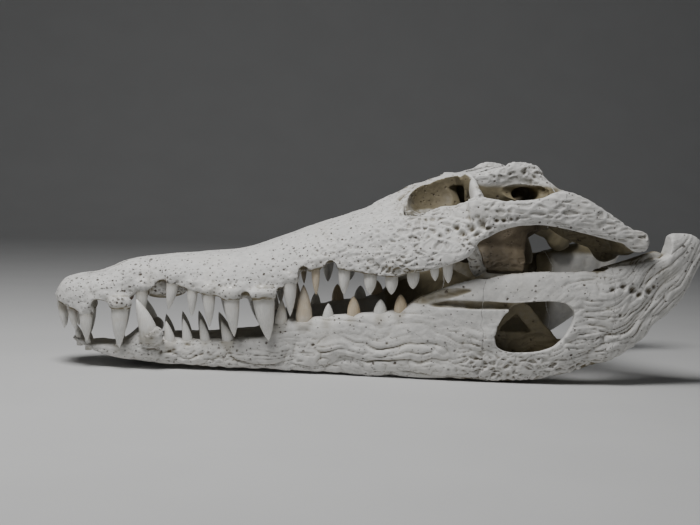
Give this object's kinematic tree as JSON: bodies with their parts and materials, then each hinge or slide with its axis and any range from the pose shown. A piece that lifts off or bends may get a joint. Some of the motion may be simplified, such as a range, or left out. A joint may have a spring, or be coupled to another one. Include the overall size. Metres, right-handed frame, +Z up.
{
  "type": "crocodile skull",
  "caption": "Life-size crocodile skull with its lower jaw, resting on the mandible with the jaws slightly open.",
  "frame": {"origin": "on the floor, under the centre of the skull's bounding box", "axes": "+X from the snout to the back of the skull, -Y to the animal's left side, +Z up"},
  "size_m": [0.5122, 0.21, 0.1751],
  "materials": {
    "premaxilla_left": "dry, cleaned bone, chalky and matt, ivory white",
    "premaxilla_right": "dry, cleaned bone, chalky and matt, ivory white",
    "maxilla_left": "dry, cleaned bone, chalky and matt, ivory white",
    "maxilla_right": "dry, cleaned bone, chalky and matt, ivory white",
    "jugal_left": "dry, cleaned bone, chalky and matt, ivory white",
    "jugal_right": "dry, cleaned bone, chalky and matt, ivory white",
    "quadrate_left": "dry, cleaned bone, chalky and matt, ivory white",
    "quadrate_right": "dry, cleaned bone, chalky and matt, ivory white",
    "skull_roof": "dry, cleaned bone, chalky and matt, ivory white",
    "palate_base": "dry, cleaned bone, chalky and matt, ivory white",
    "dentary_left": "dry, cleaned bone, chalky and matt, ivory white",
    "dentary_right": "dry, cleaned bone, chalky and matt, ivory white",
    "surangular_left": "dry, cleaned bone, chalky and matt, ivory white",
    "surangular_right": "dry, cleaned bone, chalky and matt, ivory white",
    "articular_left": "dry, cleaned bone, chalky and matt, ivory white",
    "articular_right": "dry, cleaned bone, chalky and matt, ivory white"
  },
  "bodies": {
    "root": {"premaxilla_left": "premaxilla_left", "premaxilla_right": "premaxilla_right", "maxilla_left": "maxilla_left", "maxilla_right": "maxilla_right", "jugal_left": "jugal_left", "jugal_right": "jugal_right", "quadrate_left": "quadrate_left", "quadrate_right": "quadrate_right", "skull_roof": "skull_roof", "palate_base": "palate_base", "dentary_left": "dentary_left", "dentary_right": "dentary_right", "surangular_left": "surangular_left", "surangular_right": "surangular_right", "articular_left": "articular_left", "articular_right": "articular_right"}
  },
  "joints": []
}
